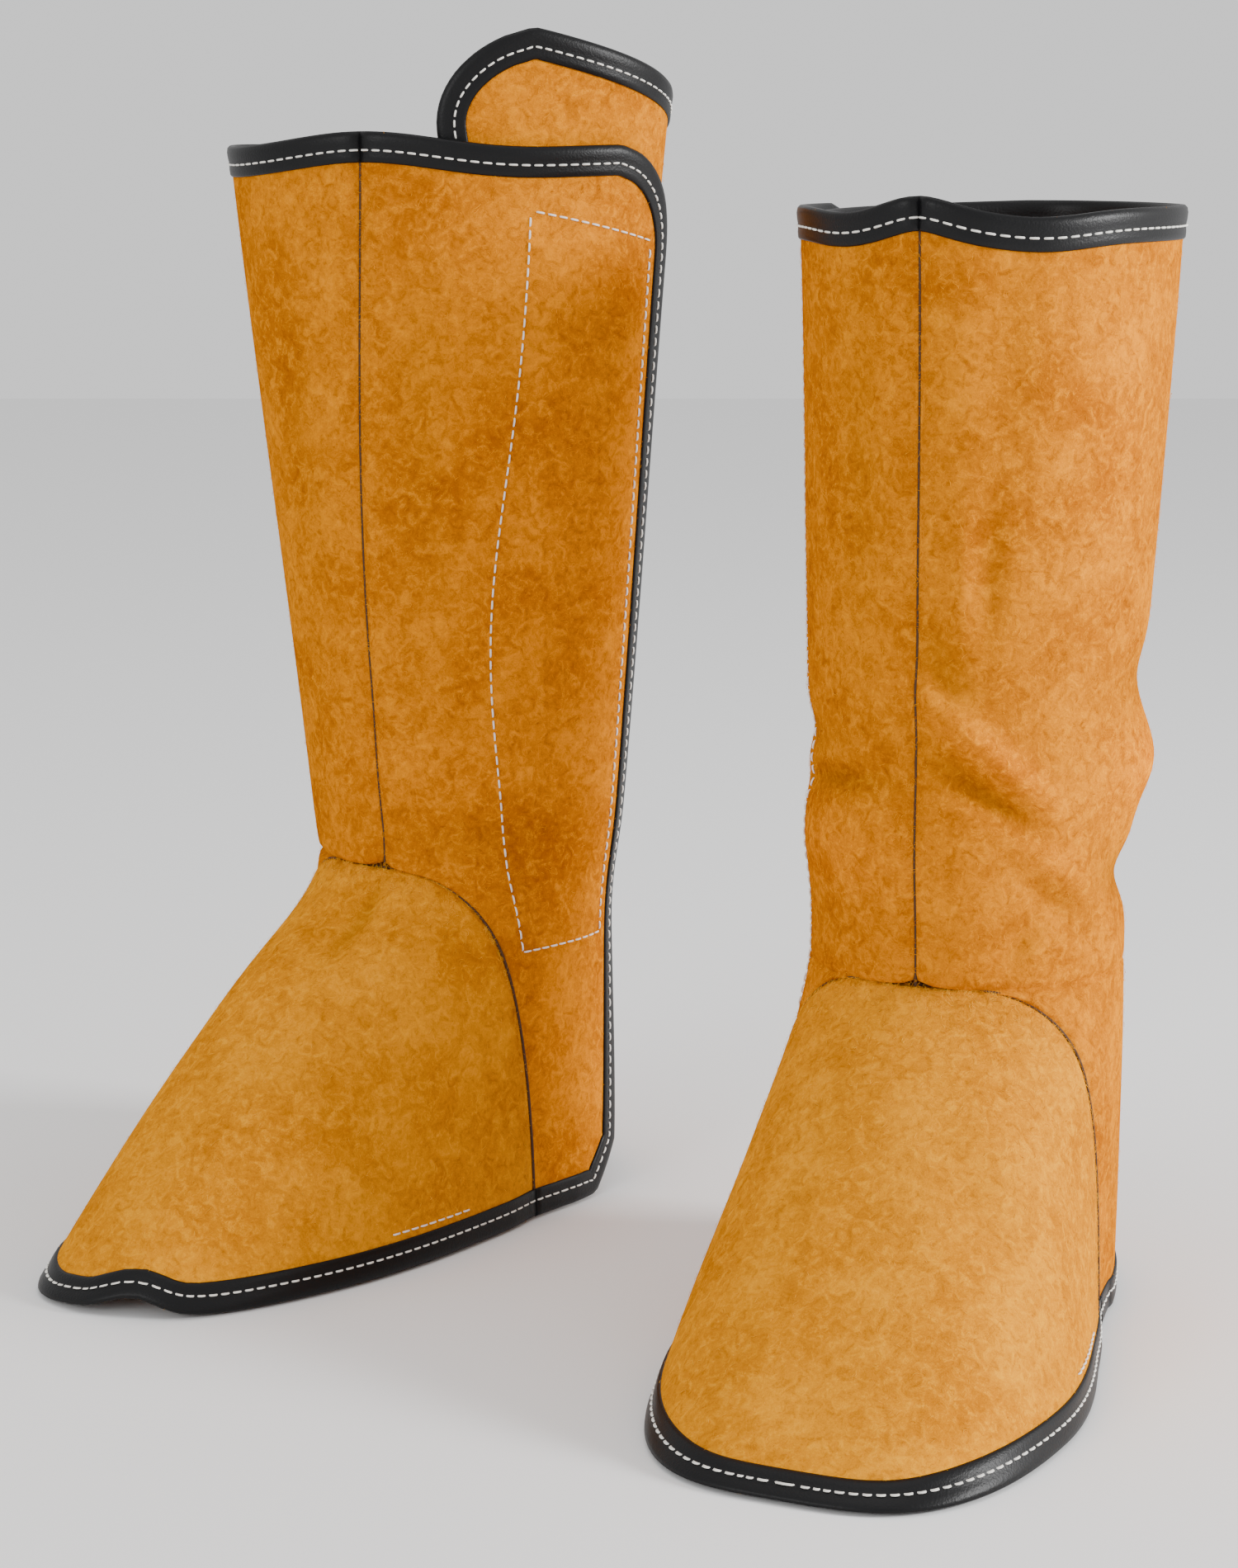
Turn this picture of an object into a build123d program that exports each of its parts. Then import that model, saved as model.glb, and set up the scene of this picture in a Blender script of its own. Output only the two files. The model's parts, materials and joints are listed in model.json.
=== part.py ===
"""A pair of welding spats: leather covers that wrap the shin and lie over the boot.

Each spat is built in its own frame in millimetres: +X towards the toe, +Y towards the outer
side of the leg, +Z up, with the shin axis at the origin and the sole plane at z = 0. The left
spat is then turned and moved to its place, and the right one is mirrored first.
The row frame has +Z up, -Y towards the toes' side, and its origin at the bottom centre.
"""
from build123d import *
from dataclasses import dataclass
from math import cos, degrees, hypot, pi, radians, sin
import os

# Sheet goods
LEATHER = 1.6             # split cowhide
BINDING = 0.8             # folded binding tape, one ply
BINDING_WIDTH = 9.5       # how far each ply reaches in from the edge
TAPE = 1.2                # hook tape and loop tape
TAPE_GAP = 0.3            # between the hook face and the loop face
STRAP = 1.2               # strap under the arch of the boot
JOINT_GAP = 0.3           # between two panels that bend apart
FIT = 0.05                # between a sheet and what is sewn on its face

# Closure, in the spat's own frame
FLAP_BEND_X = 12.0        # upright line where the outer panel bends open
FLAP_AXIS_Y = 64.5        # that bend's axis, just outside the binding
FLAP_EDGE_TOP_X = -41.0   # free edge of the flap at the top
FLAP_EDGE_HEM_X = -30.0   # and at the hem
FLAP_TOP_CORNER = 38.0
FLAP_HEM_CORNER = 22.0
UNDERLAP_BEND_Y = -8.0    # upright line where the inner panel bends in, at the calf
UNDERLAP_AXIS_X = -45.0   # that bend's axis, just inside the leather
UNDERLAP_TOP_X = 42.0     # free edge of the underlap at the top
UNDERLAP_HEM_X = 0.0      # and at the hem
UNDERLAP_TOP_CORNER = 32.0
UNDERLAP_HEM_CORNER = 14.0
UNDERLAP_DEPTH = LEATHER + 2.0 * (TAPE + FIT) + TAPE_GAP   # from the flap's outside to the underlap's
UNDERLAP_MERGE = (150.0, 185.0)                     # degrees over which it joins the calf panel
TAPE_LOW_Z = 93.0
TAPE_TOP_GAP = 31.0       # tape's top end, down from the flap's top edge
TAPE_SPAN_X = 33.0        # width of the tapes seen from the side, about 40 on the curve
HOOK_INSET_X = 11.5       # hook tape, in from the flap's free edge
LOOP_REAR_X = -47.0       # rear edge of the loop tape

# Strap under the arch
STRAP_X = (58.0, 98.0)
STRAP_SEWN_Z = 26.0

# Foot
SEAM_HEM_X = 19.0         # where the instep cover's seam meets the hem
SEAM_APEX_X = 52.0        # where that seam has levelled out, across the shin
TOE_BLUNTNESS = 2.7       # exponent of the outline: 2 is an ellipse, more is squarer
HEEL_BLUNTNESS = 2.2
INSTEP_FULLNESS = 0.16    # how far the instep bulges above a straight slope
FOOT_BLEND_Z = (92.0, 146.0)

# Tooling sizes
FAR = 500.0
BELOW = -2.0
RING_POINTS = 24
RING_START = pi           # the surfaces close up at the heel
SHOULDER_Z = 112.0


@dataclass(frozen=True)
class Spat:
    """Driving sizes of one spat, and where it stands."""

    side: str
    top_z: float              # height of the leg's top edge
    apex_z: float             # height of the seam that crosses the shin
    top_half: tuple           # half length and half width of the leg's section at the top
    ankle_half: tuple         # the same at the ankle
    section_turn: float       # degrees from the toe to the section's long axis
    seam_turn: float          # degrees from the toe to the seam down the shin
    toe_reach: float
    heel_reach: float
    ball_half: tuple          # half widths at the ball of the foot: outer side, inner side
    heel_half: float
    underlap_top_z: tuple     # top edge of the underlap at the calf and at its free end
    underlap_hem_z: tuple     # bottom edge, likewise
    toe_out: float            # degrees the toe turns from -Y towards -X
    place: tuple              # shin axis in the row frame

    @property
    def mirrored(self):
        return self.side == "right"


LEFT = Spat(
    side="left", top_z=384.0, apex_z=129.0, top_half=(80.0, 58.0), ankle_half=(54.0, 49.0),
    section_turn=132.0, seam_turn=11.0, toe_reach=195.0, heel_reach=62.0, ball_half=(62.0, 55.0),
    heel_half=50.0, underlap_top_z=(391.0, 442.0), underlap_hem_z=(12.0, 24.0),
    toe_out=42.0, place=(-45.70, 125.30))
RIGHT = Spat(
    side="right", top_z=365.0, apex_z=119.0, top_half=(74.0, 60.0), ankle_half=(53.0, 51.0),
    section_turn=0.0, seam_turn=0.0, toe_reach=195.0, heel_reach=62.0, ball_half=(62.0, 67.0),
    heel_half=50.0, underlap_top_z=(362.0, 362.0), underlap_hem_z=(4.0, 4.0),
    toe_out=24.0, place=(126.80, 0.30))
TOP_MARGIN = 46.0         # how far the tooling surfaces run above the leg's top edge


def smooth(value, low, high):
    """Rise from 0 to 1 between low and high, level at both ends."""
    share = min(1.0, max(0.0, (value - low) / (high - low)))
    return share * share * (3.0 - 2.0 * share)


def mix(first, second, share):
    return first + (second - first) * share


def rounded(value, bluntness):
    """Raise a cosine or sine to the power that squares an outline off, and keep its sign."""
    return (1.0 if value >= 0.0 else -1.0) * abs(value) ** (2.0 / bluntness)


def leg_outline(spat, turn, z):
    """Point on the leg's outside at a height: an ellipse that widens upwards."""
    share = (z - SHOULDER_Z) / (spat.top_z - SHOULDER_Z)
    length = mix(spat.ankle_half[0], spat.top_half[0], share)
    width = mix(spat.ankle_half[1], spat.top_half[1], share)
    lean = radians(spat.section_turn)
    along = length * cos(turn - lean)
    across = width * sin(turn - lean)
    return along * cos(lean) - across * sin(lean), along * sin(lean) + across * cos(lean)


def foot_outline(spat, turn, z):
    """Point on the foot's outside at a height: a blunt oval that shortens up the instep."""
    rise = z / spat.apex_z
    shin = spat.ankle_half[0] + 2.0
    forward = shin + (spat.toe_reach - shin) * max(0.0, 1.0 - rise) * (1.0 + INSTEP_FULLNESS * rise)
    level = smooth(rise, 0.0, 1.0)
    rear = mix(spat.heel_reach, spat.ankle_half[0], level)
    toe_side = cos(turn) >= 0.0
    bluntness = mix(TOE_BLUNTNESS if toe_side else HEEL_BLUNTNESS, 2.0, level)
    x = (forward if toe_side else rear) * rounded(cos(turn), bluntness)
    ball = spat.ball_half[0] if sin(turn) >= 0.0 else spat.ball_half[1]
    half = mix(spat.heel_half, ball, smooth(x, -30.0, 120.0))
    half = mix(half, spat.ankle_half[1] + 2.0, rise)
    return x, half * rounded(sin(turn), bluntness)


def outline(spat, turn, z):
    """Point on the spat's outside: the foot's outline low down, and the leg's above it."""
    leg_share = smooth(z, *FOOT_BLEND_Z)
    foot = foot_outline(spat, turn, z)
    leg = leg_outline(spat, turn, z)
    return mix(foot[0], leg[0], leg_share), mix(foot[1], leg[1], leg_share)


def skin_point(spat, turn, z, depth):
    """Point at a depth below the outside, measured square to the sloping surface."""
    step = 0.02
    x, y = outline(spat, turn, z)
    ahead, behind = outline(spat, turn + step, z), outline(spat, turn - step, z)
    above, below = outline(spat, turn, z + 1.0), outline(spat, turn, z - 1.0)
    along = Vector(ahead[0] - behind[0], ahead[1] - behind[1], 0.0)
    upward = Vector(above[0] - below[0], above[1] - below[1], 2.0)
    outward = along.cross(upward).normalized()
    level = hypot(outward.X, outward.Y)
    shift = depth / level / level
    return Vector(x - outward.X * shift, y - outward.Y * shift, z)


def underlap_depth(turn_degrees):
    """Depth of the underlap's outside below the leg's: full under the flap, none at the calf."""
    turn_degrees = turn_degrees % 360.0
    rear = 1.0 - smooth(turn_degrees, *UNDERLAP_MERGE)
    front = smooth(turn_degrees, 300.0, 340.0)
    return UNDERLAP_DEPTH * max(rear, front)


def section_heights(spat):
    """Heights of the sections that carry a surface: close together where the instep bends."""
    low = [BELOW, 14.0, 32.0, 52.0, 72.0, 90.0, 104.0, 118.0, 132.0, 148.0, 175.0]
    top = spat.top_z + TOP_MARGIN
    return low + [mix(low[-1], top, share / 5) for share in range(1, 6)]


def ring_points(spat, z, depth, underlap):
    """Points round one section, at a depth below the outside."""
    points = []
    for index in range(RING_POINTS):
        turn = RING_START + 2.0 * pi * index / RING_POINTS
        extra = underlap_depth(degrees(turn)) if underlap else 0.0
        points.append(skin_point(spat, turn, z, depth + extra))
    return points


def spacing(rings):
    """Shares of the way round at which the points lie, averaged over all the sections."""
    steps = [0.0]
    for index in range(RING_POINTS):
        follower = (index + 1) % RING_POINTS
        steps.append(steps[-1] + sum((ring[follower] - ring[index]).length for ring in rings))
    return [step / steps[-1] for step in steps]


def body(spat, depth, underlap=False):
    """Solid filled out to a depth below the spat's outside, from below the sole to the top."""
    rings = [ring_points(spat, z, depth, underlap) for z in section_heights(spat)]
    steps = spacing(rings)
    return Solid.make_loft([Wire([Edge.make_spline(ring, periodic=True, parameters=steps)]) for ring in rings])


def sheet(spat, outer_depth, inner_depth, underlap=False):
    """Tube of sheet between two depths: an outer wall, an inner wall and a flat ring at each end."""
    outer = body(spat, outer_depth, underlap)
    inner = body(spat, inner_depth, underlap)
    walls = [max(solid.faces(), key=lambda face: face.area) for solid in (outer, inner)]
    ends = []
    for place in (0, -1):
        rims = [solid.faces().filter_by(GeomType.PLANE).sort_by(Axis.Z)[place] for solid in (outer, inner)]
        ends.append(Face(rims[0].outer_wire(), [rims[1].outer_wire()]))
    return Solid(Shell(walls + ends))


def block(x_range, y_range, z_range):
    """Box between two limits on each axis."""
    size = [high - low for low, high in (x_range, y_range, z_range)]
    middle = [(low + high) / 2.0 for low, high in (x_range, y_range, z_range)]
    return Pos(*middle) * Box(*size)


def slab(low_z, high_z):
    return block((-FAR, FAR), (-FAR, FAR), (low_z, high_z))


def side_cutter(*edges):
    """Solid that cuts straight through from side to side, from its outline seen from the side."""
    return extrude(Plane.XZ * make_face(list(edges)), amount=FAR, both=True)


def instep_region(spat):
    """Region of the instep cover: in front of and below an arched seam."""
    width = SEAM_APEX_X - SEAM_HEM_X
    arch = EllipticalCenterArc((SEAM_APEX_X, 0.0), width, spat.apex_z, start_angle=90.0, arc_size=90.0)
    rest = Polyline((SEAM_HEM_X, 0.0), (SEAM_HEM_X, -20.0), (FAR, -20.0), (FAR, spat.apex_z),
                    (SEAM_APEX_X, spat.apex_z))
    return side_cutter(*arch.edges(), *rest.edges())


def rounded_panel(corners, radii):
    """Face with straight sides through corners, in (x, z), each rounded by its radius or left sharp."""
    face = make_face(Polyline(*corners, close=True))
    for corner, radius in zip(corners, radii):
        if radius:
            vertex = min(face.vertices(), key=lambda point: hypot(point.X - corner[0], point.Y - corner[1]))
            face = fillet(vertex, radius)
    return face


def flap_edge_x(spat, z):
    """The flap's free edge seen from the side: it leans back towards the top."""
    return mix(FLAP_EDGE_HEM_X, FLAP_EDGE_TOP_X, z / spat.top_z)


def flap_region(spat, inset):
    """Region of the flap, drawn in from its free edges by an inset."""
    low, high = inset, spat.top_z - inset
    front = FLAP_BEND_X - JOINT_GAP / 2.0
    corners = [(front, low), (flap_edge_x(spat, low) + inset, low),
               (flap_edge_x(spat, high) + inset, high), (front, high)]
    face = rounded_panel(corners, [0.0, FLAP_HEM_CORNER - inset, FLAP_TOP_CORNER - inset, 0.0])
    return extrude(Plane.XZ * face, amount=FAR, both=True) & block((-FAR, FAR), (20.0, FAR), (-FAR, FAR))


def underlap_region(spat, inset):
    """Region of the underlap, from the bend at the calf round to its free edge."""
    rear = -FAR / 4.0
    hem, top = spat.underlap_hem_z, spat.underlap_top_z
    calf = -spat.heel_reach

    def hem_z(x):
        return mix(hem[0], hem[1], (x - calf) / (UNDERLAP_HEM_X - calf)) + inset

    def top_z(x):
        return mix(top[0], top[1], (x - calf) / (UNDERLAP_TOP_X - calf)) - inset

    corners = [(rear, hem_z(rear)), (UNDERLAP_HEM_X - inset, hem_z(UNDERLAP_HEM_X - inset)),
               (UNDERLAP_TOP_X - inset, top_z(UNDERLAP_TOP_X - inset)), (rear, top_z(rear))]
    face = rounded_panel(corners, [0.0, UNDERLAP_HEM_CORNER - inset, UNDERLAP_TOP_CORNER - inset, 0.0])
    side = block((-FAR, FAR), (UNDERLAP_BEND_Y + JOINT_GAP / 2.0, FAR), (-FAR, FAR))
    return extrude(Plane.XZ * face, amount=FAR, both=True) & side


def plan_region(*corners):
    """Upright prism over a polygon in plan."""
    return Pos(0.0, 0.0, -FAR / 2.0) * extrude(make_face(Polyline(*corners, close=True)), amount=2.0 * FAR)


def outer_region(spat):
    """Plan of the outer quarter: from the shin seam back to the flap's bend."""
    seam = radians(spat.seam_turn)
    bend = FLAP_BEND_X + JOINT_GAP / 2.0
    return plan_region((bend, bend * sin(seam) / cos(seam)), (FAR, FAR * sin(seam) / cos(seam)),
                       (FAR, FAR), (bend, FAR))


def inner_region(spat):
    """Plan of the inner quarter: from the shin seam round the inner side to the bend at the calf."""
    seam = radians(spat.seam_turn)
    bend = UNDERLAP_BEND_Y - JOINT_GAP / 2.0
    return plan_region((0.0, 0.0), (FAR, FAR * sin(seam) / cos(seam)), (FAR, -FAR), (-FAR, -FAR),
                       (-FAR, bend), (0.0, bend))


def fixed_region(spat):
    """Plan of everything that stays put when the flap and the underlap move."""
    return outer_region(spat) + inner_region(spat)


def outer_quarter(spat, leather, instep):
    """Outer side of the leg, in front of the flap."""
    height = slab(BINDING, spat.top_z - BINDING)
    return (leather & outer_region(spat) & height) - instep


def inner_quarter(spat, leather, instep):
    """Inner side of the leg, round to the calf."""
    height = slab(BINDING, spat.top_z - BINDING)
    return (leather & inner_region(spat) & height) - instep


def instep_cover(leather, instep):
    """Shield over the boot's laces and toe."""
    return leather & instep & slab(BINDING, FAR)


def flap(spat, leather):
    """Rear part of the outer side, which bends open."""
    return leather & flap_region(spat, BINDING)


def underlap(spat):
    """Free end of the inner side, which lies inside the flap."""
    return sheet(spat, 0.0, LEATHER, underlap=True) & underlap_region(spat, BINDING)


def top_binding(spat, binding, groove):
    """Tape folded over the top edge of the leg, outside and inside."""
    edge = slab(spat.top_z - BINDING_WIDTH, spat.top_z) & fixed_region(spat)
    return (binding & edge) - (groove & slab(0.0, spat.top_z - BINDING + FIT))


def hem_binding(spat, binding, groove):
    """Tape folded over the hem, from the flap round the toe to the calf."""
    edge = slab(0.0, BINDING_WIDTH) & fixed_region(spat)
    return (binding & edge) - (groove & slab(BINDING - FIT, FAR))


def flap_bare_region(spat):
    """Part of the flap that its binding leaves bare, run on past the bend."""
    low, high = BINDING_WIDTH, spat.top_z - BINDING_WIDTH
    past_bend = block((FLAP_BEND_X - 2.0, FAR), (20.0, FAR), (low, high))
    return flap_region(spat, BINDING_WIDTH) + past_bend


def flap_binding(spat, binding, groove):
    """Tape folded over the flap's top, free edge and hem."""
    edge = flap_region(spat, 0.0) - flap_bare_region(spat)
    return (binding & edge) - (groove & flap_region(spat, BINDING - FIT))


def underlap_binding(spat):
    """Tape folded over the underlap's top, free edge and hem."""
    binding = sheet(spat, -BINDING - FIT, LEATHER + BINDING + FIT, underlap=True)
    groove = sheet(spat, -FIT, LEATHER + FIT, underlap=True)
    edge = underlap_region(spat, 0.0) - underlap_region(spat, BINDING_WIDTH)
    return (binding & edge) - (groove & underlap_region(spat, BINDING - FIT))


def tape_region(spat, rear_low, rear_high):
    """Upright strip seen from the side, leaning with its rear edge."""
    high = spat.top_z - TAPE_TOP_GAP
    strip = make_face(Polyline((rear_low, TAPE_LOW_Z), (rear_low + TAPE_SPAN_X, TAPE_LOW_Z),
                               (rear_high + TAPE_SPAN_X, high), (rear_high, high), close=True))
    return extrude(Plane.XZ * strip, amount=FAR, both=True) & block((-FAR, FAR), (10.0, FAR), (-FAR, FAR))


def hook_tape(spat):
    """Hook tape sewn inside the flap, along its free edge."""
    region = tape_region(spat, flap_edge_x(spat, TAPE_LOW_Z) + HOOK_INSET_X,
                         flap_edge_x(spat, spat.top_z - TAPE_TOP_GAP) + HOOK_INSET_X)
    return sheet(spat, LEATHER + FIT, LEATHER + FIT + TAPE) & region


def loop_tape(spat):
    """Loop tape sewn on the outside of the underlap, under the hook tape."""
    region = tape_region(spat, LOOP_REAR_X, LOOP_REAR_X)
    return sheet(spat, -FIT - TAPE, -FIT, underlap=True) & region


def sole_strap(spat):
    """Elastic strap under the arch, its ends turned up and sewn inside both walls."""
    inside = LEATHER + BINDING + 2.0 * FIT
    across = block(STRAP_X, (-FAR, FAR), (-FAR, FAR))
    ends = sheet(spat, inside, inside + STRAP) & slab(0.0, STRAP_SEWN_Z)
    floor = body(spat, inside) & slab(0.0, STRAP)
    return (ends + floor) & across


def pieces(spat):
    """Every piece of one spat, in the spat's own frame."""
    leather = sheet(spat, 0.0, LEATHER)
    binding = sheet(spat, -BINDING - FIT, LEATHER + BINDING + FIT)
    groove = sheet(spat, -FIT, LEATHER + FIT)
    instep = instep_region(spat)
    return {
        "outer_quarter": outer_quarter(spat, leather, instep),
        "inner_quarter": inner_quarter(spat, leather, instep),
        "instep_cover": instep_cover(leather, instep),
        "flap": flap(spat, leather),
        "underlap": underlap(spat),
        "top_binding": top_binding(spat, binding, groove),
        "hem_binding": hem_binding(spat, binding, groove),
        "flap_binding": flap_binding(spat, binding, groove),
        "underlap_binding": underlap_binding(spat),
        "hook_tape": hook_tape(spat),
        "loop_tape": loop_tape(spat),
        "sole_strap": sole_strap(spat),
    }


def stand(spat, shape):
    """Move a piece from the spat's own frame to its place in the row."""
    if spat.mirrored:
        shape = mirror(shape, about=Plane.XZ)
    return Pos(spat.place[0], spat.place[1], 0.0) * Rot(0.0, 0.0, -90.0 - spat.toe_out) * shape


def main():
    os.makedirs("parts", exist_ok=True)
    for spat in (LEFT, RIGHT):
        for name, shape in pieces(spat).items():
            export_step(stand(spat, shape), f"parts/{spat.side}_{name}.step")


if __name__ == "__main__":
    main()
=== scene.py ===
"""A pair of welding spats: suede leg wraps with instep covers, black bound edges and tape closures.

Each spat's leather is laid out on its own form, in millimetres: +X to the toe, +Y to the outer
side, +Z up, with the shin axis at the origin. Lay-outs run over (turn, height), where turn is the
angle round the leg from the toe. Finished pieces are in metres, in the row frame.
"""
from __future__ import annotations

import json
import logging
import math
from dataclasses import dataclass
from enum import Enum

import bmesh
import bpy
import numpy as np
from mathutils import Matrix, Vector


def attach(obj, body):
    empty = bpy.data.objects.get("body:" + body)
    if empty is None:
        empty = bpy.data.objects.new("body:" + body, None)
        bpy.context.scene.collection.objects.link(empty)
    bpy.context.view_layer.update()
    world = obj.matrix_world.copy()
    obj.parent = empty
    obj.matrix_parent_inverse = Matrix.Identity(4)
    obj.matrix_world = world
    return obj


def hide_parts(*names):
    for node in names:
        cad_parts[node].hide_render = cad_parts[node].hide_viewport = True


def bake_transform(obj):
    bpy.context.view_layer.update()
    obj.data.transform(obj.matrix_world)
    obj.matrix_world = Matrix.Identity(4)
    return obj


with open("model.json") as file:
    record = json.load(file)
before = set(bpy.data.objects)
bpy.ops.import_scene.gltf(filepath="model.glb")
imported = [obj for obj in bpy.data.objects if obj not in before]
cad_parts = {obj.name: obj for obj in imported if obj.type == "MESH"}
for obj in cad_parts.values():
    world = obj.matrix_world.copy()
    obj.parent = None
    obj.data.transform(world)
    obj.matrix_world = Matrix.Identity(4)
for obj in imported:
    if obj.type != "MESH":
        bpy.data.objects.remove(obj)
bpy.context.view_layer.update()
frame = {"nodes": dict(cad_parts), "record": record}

LOG = logging.getLogger("welding_spats")
MM = 0.001
Colour = tuple[float, float, float]
Values = float | np.ndarray

# Lay-outs, in millimetres
SHIN_ROWS = 84           # rows of a leg panel above the instep's seam
LEG_RADIUS = 58.0        # mean radius of the leg, which turns angles into distances near a seam
FOOT_RADIUS = 70.0       # the same for the instep cover
EDGE_STEP = 3.0          # distance between the binding's cross-sections
WELT_DEPTH = 1.75        # depth of the welt behind a seam
TAPE_LOW_Z = 93.0        # lower end of the hook and loop tapes
TAPE_TOP_GAP = 31.0      # their distance below the top edge
TAPE_SPAN_X = 33.0       # their reach from rear to front
TAPE_ROWS = 48
HOOK_INSET_X = 11.5      # hook tape, in from the flap's edge
LOOP_REAR_X = -47.0      # rear edge of the loop tape
OUTLINE_INSET_X = 13.2   # stitched outline of the hook tape, in from the flap's edge
OUTLINE_LOW_Z = 100.0    # its lower side
OUTLINE_TOP_GAP = 22.0   # its distance below the top edge
OUTLINE_FALL = 11.0      # how far its upper side falls towards the flap's edge
STRAP_X = (57.0, 99.0)   # rear and front of the sole strap's sewing
STRAP_SEWN_Z = 13.5      # its height above the floor


def mix(first: Values, second: Values, share: Values) -> Values:
    """Value a share of the way from first to second."""
    return first + (second - first) * share


def smooth(value: Values, low: float, high: float) -> Values:
    """Rise from 0 to 1 between low and high, level at both ends."""
    share = np.clip((value - low) / (high - low), 0.0, 1.0)
    return share * share * (3.0 - 2.0 * share)


def hump(value: Values, centre: float, width: float) -> Values:
    """Bell-shaped bump of height 1."""
    return np.exp(-(((value - centre) / width) ** 2))


class Side(Enum):
    """Which foot a spat is for."""

    LEFT = "left"
    RIGHT = "right"


class Slot(Enum):
    """Material slots of the record."""

    QUARTER = "quarter_suede"
    INSTEP = "instep_suede"
    BINDING = "binding"
    THREAD = "thread"
    HOOK = "hook_tape"
    LOOP = "loop_tape"
    ELASTIC = "elastic"


@dataclass(frozen=True)
class Goods:
    """Thicknesses and widths of the sheet goods, in millimetres."""

    leather: float = 1.6
    tape: float = 1.2
    tape_gap: float = 0.3
    glue: float = 0.05
    stitch_pitch: float = 4.3
    stitch_length: float = 3.4
    thread: float = 0.34
    stitch_inset: float = 5.4
    stitch_rise: float = 0.66


GOODS = Goods()


@dataclass(frozen=True)
class Crease:
    """A fold or swelling in the leather: an oblong bump laid out at a turn and a height."""

    turn: float           # degrees
    height: float
    rise: float           # outwards, or inwards if negative
    wide: float           # half size across the leg, in degrees
    tall: float           # half size up the leg, in millimetres
    slope: float = 0.0    # millimetres of height per degree of turn along the fold


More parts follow.
